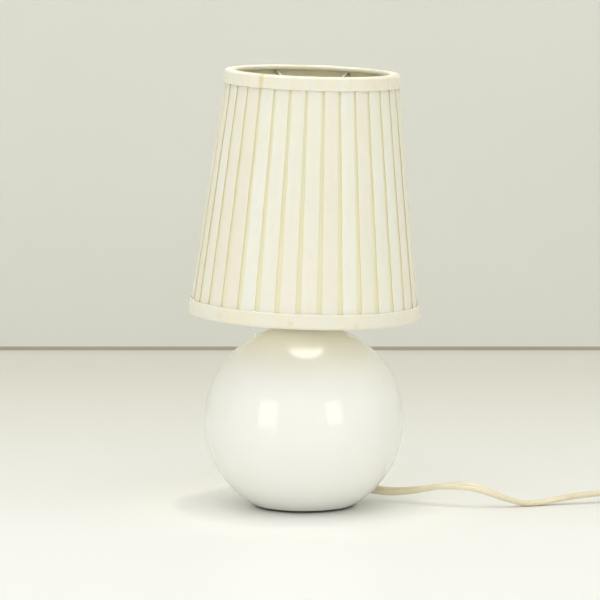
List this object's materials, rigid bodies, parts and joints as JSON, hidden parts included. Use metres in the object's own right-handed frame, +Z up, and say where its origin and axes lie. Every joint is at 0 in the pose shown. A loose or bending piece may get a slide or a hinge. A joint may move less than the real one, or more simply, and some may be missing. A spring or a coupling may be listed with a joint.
{
  "type": "table lamp",
  "caption": "Small table lamp: glossy white ceramic ball base, pleated ivory shade clipped onto a golf-ball bulb, flat mains cord with inline switch and plug.",
  "frame": {"origin": "middle of the foot, on the surface that the lamp stands on", "axes": "+Z up, -Y towards the front that the picture shows, +X towards the side on which the cord leaves"},
  "size_m": [0.4329, 0.1784, 0.2795],
  "materials": {
    "glaze": "glossy white glaze",
    "felt": "dark felt",
    "rubber": "matte beige rubber",
    "steel": "plain zinc-plated steel",
    "shade_wire": "dull zinc-plated wire",
    "brass": "satin brass",
    "bulb_cap": "bright nickel-plated",
    "holder_plastic": "aged cream plastic",
    "porcelain": "unglazed porcelain",
    "bulb_glass": "clear glass",
    "pleated_fabric": "ivory pleated ribbon cloth, yellowed in the gaps",
    "band_fabric": "ivory folded cloth band",
    "lining": "yellowed laminated lining",
    "cord": "aged beige PVC",
    "core_brown": "brown PVC",
    "core_blue": "blue PVC",
    "switch_plastic": "aged beige moulded plastic",
    "tie": "paper-covered wire"
  },
  "bodies": {
    "base": {"ceramic_base": "glaze", "felt_pad": "felt", "cord_bush": "rubber", "neck_gasket": "rubber", "neck_cap": "brass", "threaded_nipple": "steel", "inner_washer": "steel", "lock_nut": "steel", "holder_base_cap": "holder_plastic", "holder_lock_screw": "steel", "holder_terminal_block": "porcelain", "terminal_screw_live": "brass", "terminal_screw_neutral": "brass", "holder_screw_shell": "brass", "holder_centre_contact": "brass", "holder_outer_shell": "holder_plastic", "inner_lead": "cord", "wire_live": "core_brown", "wire_neutral": "core_blue", "cord_to_switch": "cord", "switch_base": "switch_plastic", "switch_cover": "switch_plastic", "switch_contact_a": "brass", "switch_contact_b": "brass", "switch_screw_a": "steel", "switch_screw_b": "steel", "cord_to_coil": "cord", "cord_coil": "cord", "cord_tie": "tie", "cord_to_plug": "cord", "plug_body": "switch_plastic", "plug_pin_left": "bulb_cap", "plug_pin_right": "bulb_cap"},
    "switch_rocker": {"switch_rocker": "switch_plastic"},
    "bulb": {"bulb_tip_contact": "steel", "bulb_insulator": "holder_plastic", "bulb_screw_cap": "bulb_cap", "bulb_glass": "bulb_glass", "bulb_stem": "bulb_glass", "bulb_filament": "steel"},
    "bulb_clip": {"clip_loop_left": "shade_wire", "clip_loop_right": "shade_wire", "clip_plate": "shade_wire", "clip_rivet": "shade_wire"},
    "shade": {"hub_plate": "shade_wire", "spider_arm_1": "shade_wire", "spider_arm_2": "shade_wire", "spider_arm_3": "shade_wire", "spider_arm_4": "shade_wire", "top_ring": "shade_wire", "bottom_ring": "shade_wire", "shade_lining": "lining", "pleated_cover": "pleated_fabric", "top_band": "band_fabric", "bottom_band": "band_fabric"}
  },
  "joints": [
    {"name": "bulb_lift", "type": "slide", "parent": "base", "child": "bulb", "axis": [0.0332, 0, 0.9995], "range_m": [0, 0.03]},
    {"name": "shade_lift", "type": "slide", "parent": "bulb", "child": "bulb_clip", "axis": [0.0332, 0, 0.9995], "range_m": [0, 0.12]},
    {"name": "shade_turn", "type": "hinge", "parent": "bulb_clip", "child": "shade", "pos_m": [0.00373, 0, 0.23044], "axis": [0.0332, 0, 0.9995], "continuous": true},
    {"name": "switch_rock", "type": "hinge", "parent": "base", "child": "switch_rocker", "pos_m": [0.244, 0.0105, 0.0143], "axis": [0, 1, 0], "range_deg": [0, 12]}
  ]
}
